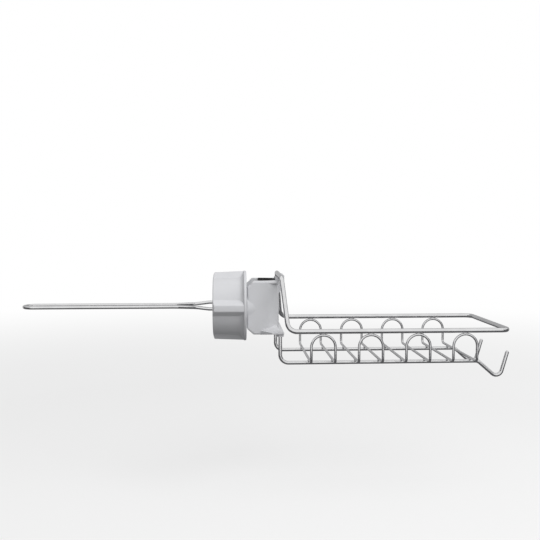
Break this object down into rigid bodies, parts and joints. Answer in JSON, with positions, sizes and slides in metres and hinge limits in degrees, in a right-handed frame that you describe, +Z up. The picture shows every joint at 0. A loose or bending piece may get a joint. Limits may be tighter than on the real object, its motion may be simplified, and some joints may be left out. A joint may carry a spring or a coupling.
{
  "type": "faucet sponge holder",
  "caption": "Wire sponge basket with hooks on a plastic U-clamp for a faucet tube, tightened by a ribbed nut knob that also carries a hairpin towel bar.",
  "frame": {"origin": "on the axis of the gripped faucet tube, at the clamp's mid height", "axes": "+Z up along the tube, +X along the basket away from the clamp, +Y to the back"},
  "size_m": [0.42, 0.1, 0.0904],
  "materials": {
    "grey_abs": "light grey moulded ABS, fine satin texture",
    "black_rubber": "matt black rubber",
    "stainless_wire": "polished stainless steel wire"
  },
  "bodies": {
    "clamp": {"clamp_body": "grey_abs", "grip_liner": "black_rubber", "top_rail": "stainless_wire", "lower_rail_front": "stainless_wire", "lower_rail_back": "stainless_wire", "basket_hoop_1": "stainless_wire", "basket_hoop_2": "stainless_wire", "basket_hoop_3": "stainless_wire", "basket_hoop_4": "stainless_wire"},
    "shoe": {"pressure_shoe": "grey_abs", "shoe_pad": "black_rubber", "retaining_clip": "stainless_wire"},
    "knob": {"knob": "grey_abs", "knob_cap": "grey_abs"},
    "towel_bar": {"towel_bar": "stainless_wire"}
  },
  "joints": [
    {"name": "shoe_slide", "type": "slide", "parent": "clamp", "child": "shoe", "axis": [1, 0, 0], "range_m": [-0.0151, 0.0004]},
    {"name": "knob_turn", "type": "hinge", "parent": "shoe", "child": "knob", "pos_m": [-0.028, 0, 0], "axis": [1, 0, 0], "range_deg": [-1800, 36]},
    {"name": "towel_bar_pull", "type": "slide", "parent": "shoe", "child": "towel_bar", "axis": [-1, 0, 0], "range_m": [0, 0.022]}
  ],
  "couplings": [
    {"joint": "shoe_slide", "follows": "knob_turn", "m_per_rad": 0.00047746}
  ]
}
